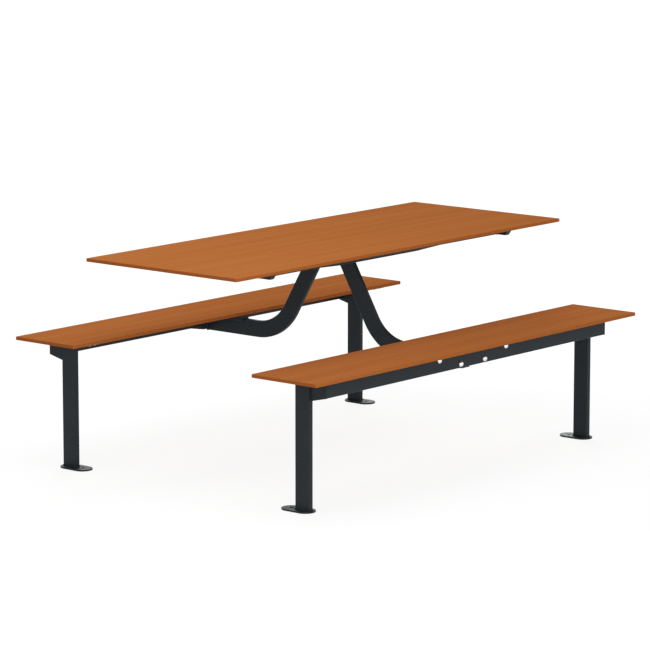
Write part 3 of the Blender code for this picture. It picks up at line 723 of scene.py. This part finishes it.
# A board's materials in their order, and how far upright or lengthwise a normal is on a face or on a short
# end with painted shade.
FACE, EDGE, SHADED_END = range(3)
LEVEL = 0.99
SQUARE_ON = 0.90
for node in ("front_seat_board", "rear_seat_board", "table_board"):
    low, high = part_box(node)
    board = block(high - low)
    bmesh.ops.translate(board, vec=(low + high) / 2, verts=board.verts)
    round_edges(board, edges_along(board, ALONG_Z), BOARD_CORNER, BOARD_CORNER_STEPS)
    round_edges(board, sharp_edges(board), BOARD_ARRIS, BOARD_ARRIS_STEPS)
    for flat in board.faces:
        if abs(flat.normal.z) > LEVEL:
            flat.material_index = FACE
        # Faces that point along the board take the darker core copy, as painted shade.
        elif abs(flat.normal.x) > SQUARE_ON:
            flat.material_index = SHADED_END
        else:
            flat.material_index = EDGE
    piece = finish_piece(f"laminate_{node}", board, "board", decor, *core_and_shaded_end)
    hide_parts(node)

# Floor: a plain white studio floor without an edge in view. It lights the underside of the table by bounce,
# keeps a faint soft shadow under the object, and further out it shows as the white of the background.
FLOOR_SIZE = 60.0
FLOOR_DROP = 0.0005
FLOOR_WHITE = linear("#f2f2f2")
FLOOR_ROUGHNESS = 0.9
FLOOR_SPECULAR = 0.0
FLOOR_GLOW = 1.075
FLOOR_GLOW_SHARE = 0.80
SHADOW_REACH = 1.5
WHITE_REACH = 3.0
WHITE = linear("#ffffff")


def seen_directly(tree):
    """Socket that is 1 where a surface is seen, also in a mirror or through glass, and 0 for its light."""
    path = add_node(tree, "ShaderNodeLightPath", {}).outputs
    seen = add_node(tree, "ShaderNodeMath", {0: path["Is Camera Ray"], 1: path["Is Glossy Ray"]},
                    operation="MAXIMUM")
    return add_node(tree, "ShaderNodeMath", {0: seen.outputs["Value"], 1: path["Is Transmission Ray"]},
                    operation="MAXIMUM").outputs["Value"]


floor_paint, tree, shader = new_material("white_studio_floor")
place = add_node(tree, "ShaderNodeTexCoord", {}).outputs["Object"]
reach = add_node(tree, "ShaderNodeVectorMath", {0: place}, operation="LENGTH").outputs["Value"]
white = add_node(tree, "ShaderNodeMapRange",
                 {"Value": reach, "From Min": SHADOW_REACH, "From Max": WHITE_REACH,
                  "To Min": FLOOR_GLOW_SHARE})
share = add_node(tree, "ShaderNodeMath", {0: seen_directly(tree), 1: white.outputs["Result"]},
                 operation="MULTIPLY")
glow = add_node(tree, "ShaderNodeEmission", {"Color": WHITE, "Strength": FLOOR_GLOW})
shader.inputs["Base Color"].default_value = FLOOR_WHITE
shader.inputs["Roughness"].default_value = FLOOR_ROUGHNESS
shader.inputs["Specular IOR Level"].default_value = FLOOR_SPECULAR
blend = add_node(tree, "ShaderNodeMixShader",
                 {0: share.outputs["Value"], 1: shader.outputs["BSDF"], 2: glow.outputs["Emission"]})
tree.links.new(blend.outputs["Shader"], tree.nodes["Material Output"].inputs["Surface"])
sheet = bmesh.new()
bmesh.ops.create_grid(sheet, x_segments=1, y_segments=1, size=FLOOR_SIZE / 2)
bmesh.ops.translate(sheet, vec=(0, 0, cad_low.z - FLOOR_DROP), verts=sheet.verts)
mesh = bpy.data.meshes.new("studio_floor")
sheet.to_mesh(mesh)
sheet.free()
mesh.materials.append(floor_paint)
floor = bpy.data.objects.new("studio_floor", mesh)
bpy.context.scene.collection.objects.link(floor)

# Studio light: an even white room, a softbox overhead to the left and another high at the right rear,
# two white reflectors in front that lift the coated steel, and a small low one that glances off the feet.
# Each lamp has its name, its place, the point that it faces, its width and its power in watts.
LAMPS = (("overhead_softbox", (-1.2, -0.2, 3.0), (-1.0, 0.0, 0.0), 2.2, 27.5),
         ("rear_softbox", (3.2, 3.2, 3.0), (0.0, 0.0, 0.4), 2.6, 71.0),
         ("front_reflector", (0.0, -5.4, 1.3), (0.0, 0.0, 0.4), 3.0, 36.0),
         ("left_reflector", (-4.2, -4.2, 1.3), (0.0, 0.0, 0.4), 3.0, 107.0),
         ("low_reflector", (2.5, 1.2, 0.35), (0.8, 0.0, 0.0), 0.9, 8.0))
ROOM_LIGHT = 0.46
ROOM_WHITE = 1.0
world = bpy.data.worlds.new("white_room")
world.use_nodes = True
bpy.context.scene.world = world
tree = world.node_tree
strength = add_node(tree, "ShaderNodeMapRange",
                    {"Value": seen_directly(tree), "To Min": ROOM_LIGHT, "To Max": ROOM_WHITE})
tree.nodes["Background"].inputs["Color"].default_value = WHITE
tree.links.new(strength.outputs["Result"], tree.nodes["Background"].inputs["Strength"])
for name, place, target, width, power in LAMPS:
    lamp = bpy.data.lights.new(name, "AREA")
    lamp.shape = "SQUARE"
    lamp.size = width
    lamp.energy = power
    softbox = bpy.data.objects.new(name, lamp)
    softbox.location = place
    softbox.rotation_euler = (Vector(target) - Vector(place)).to_track_quat("-Z", "Y").to_euler()
    bpy.context.scene.collection.objects.link(softbox)

# Camera: a long lens from the left front, a little above the table, as in the photograph.
# Its place and lens were solved from the edges of the boards and the posts, for a square picture.
CAMERA_PLACE = (-9.7256, -8.1244, 2.7004)
CAMERA_HEADING = math.radians(39.978)
CAMERA_DIP = math.radians(10.012)
CAMERA_LENS = 200.1
CAMERA_SENSOR = 36.0
CAMERA_REACH = 200.0
camera = bpy.data.cameras.new("camera")
camera.lens = CAMERA_LENS
camera.sensor_width = CAMERA_SENSOR
camera.clip_end = CAMERA_REACH
viewer = bpy.data.objects.new("camera", camera)
viewer.location = CAMERA_PLACE
viewer.rotation_euler = (QUARTER_TURN - CAMERA_DIP, 0.0, CAMERA_HEADING - QUARTER_TURN)
bpy.context.scene.collection.objects.link(viewer)
bpy.context.scene.camera = viewer
bpy.context.scene.view_settings.view_transform = "Standard"
